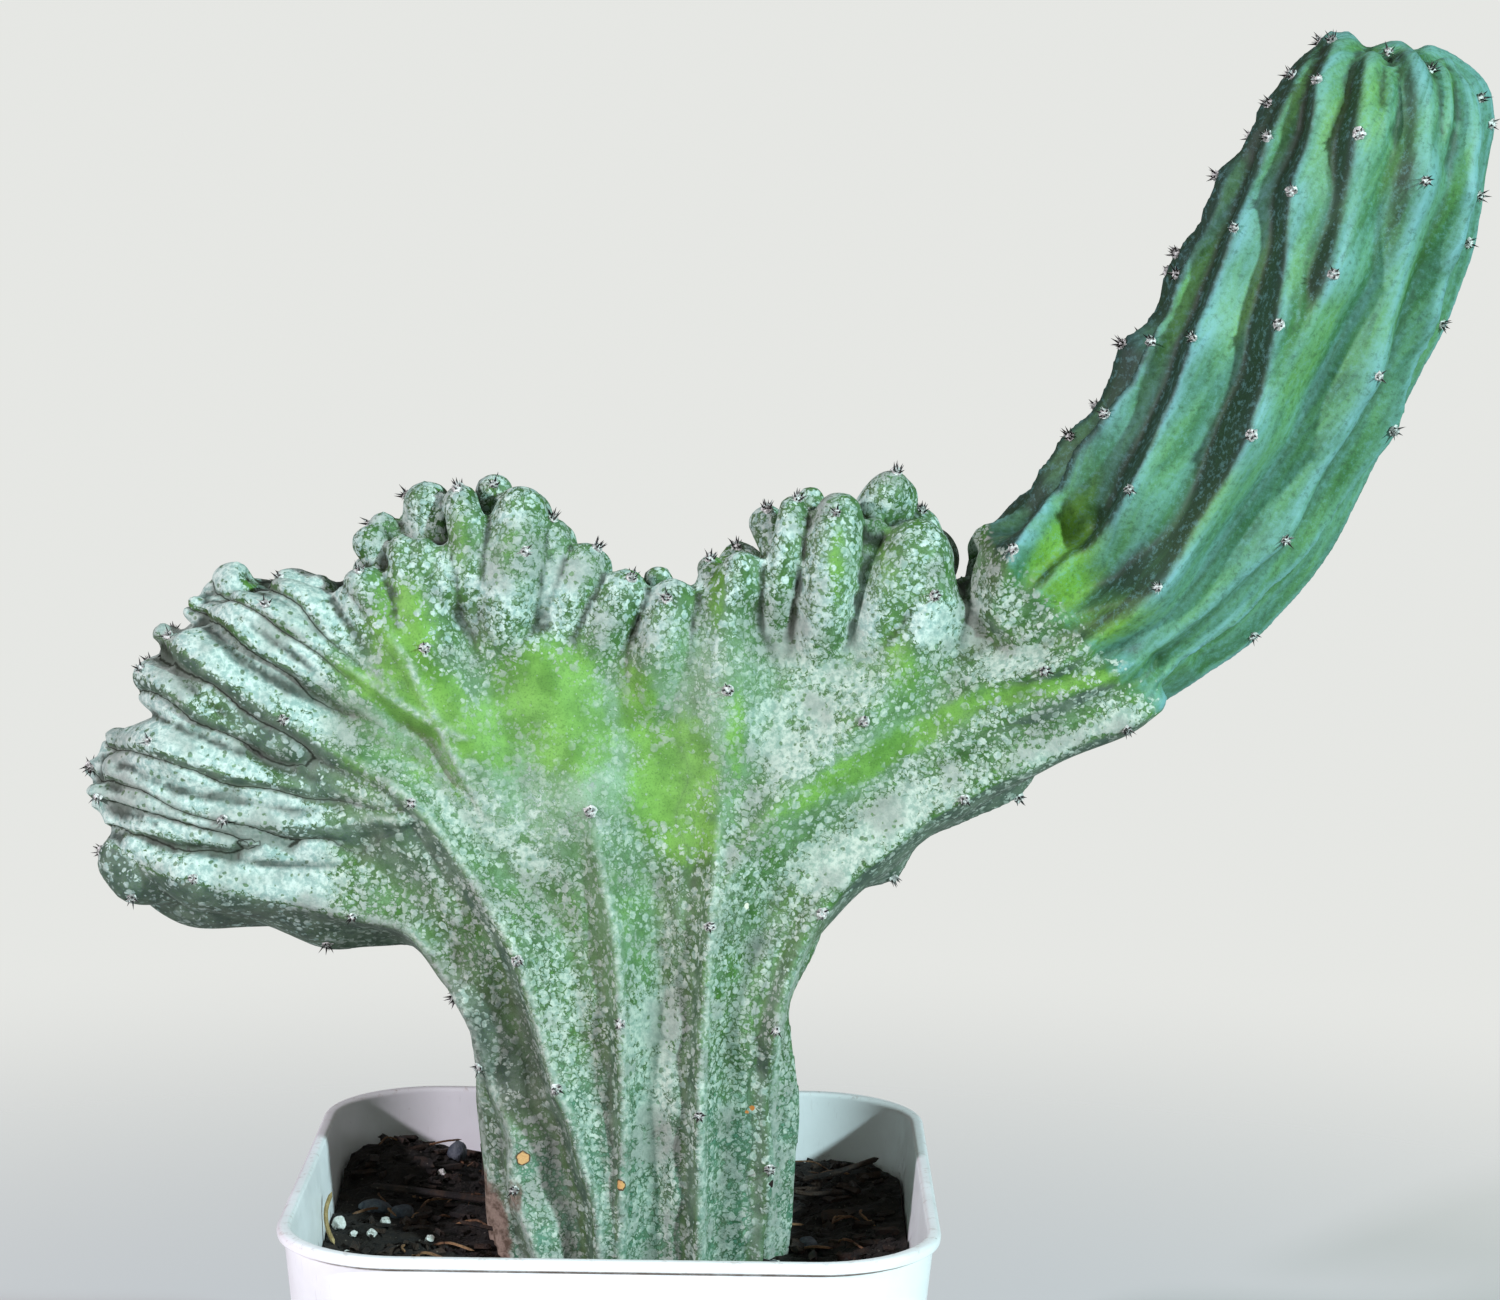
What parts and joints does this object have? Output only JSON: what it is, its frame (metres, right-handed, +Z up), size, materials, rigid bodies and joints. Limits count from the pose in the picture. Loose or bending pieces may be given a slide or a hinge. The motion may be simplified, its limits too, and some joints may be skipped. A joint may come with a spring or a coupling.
{
  "type": "crested blue candle cactus in a square pot",
  "caption": "Crested blue candle cactus with a fan-shaped crest and one upright ribbed arm, growing in a square white plastic pot of soil.",
  "frame": {"origin": "centre of the pot's underside, on the surface that the pot stands on", "axes": "+Z up; +X to the right as seen from the front, towards the upright arm; -Y towards the front, where the fan is seen flat on"},
  "size_m": [0.3288, 0.15, 0.3948],
  "materials": {
    "cactus_skin": "waxy blue-green skin with a pale flaky bloom",
    "potting_soil": "rough dark bark and peat mix with perlite",
    "white_plastic": "satin white moulded plastic, lightly stained"
  },
  "bodies": {
    "root": {"cactus": "cactus_skin", "soil": "potting_soil", "pot": "white_plastic"}
  },
  "joints": []
}
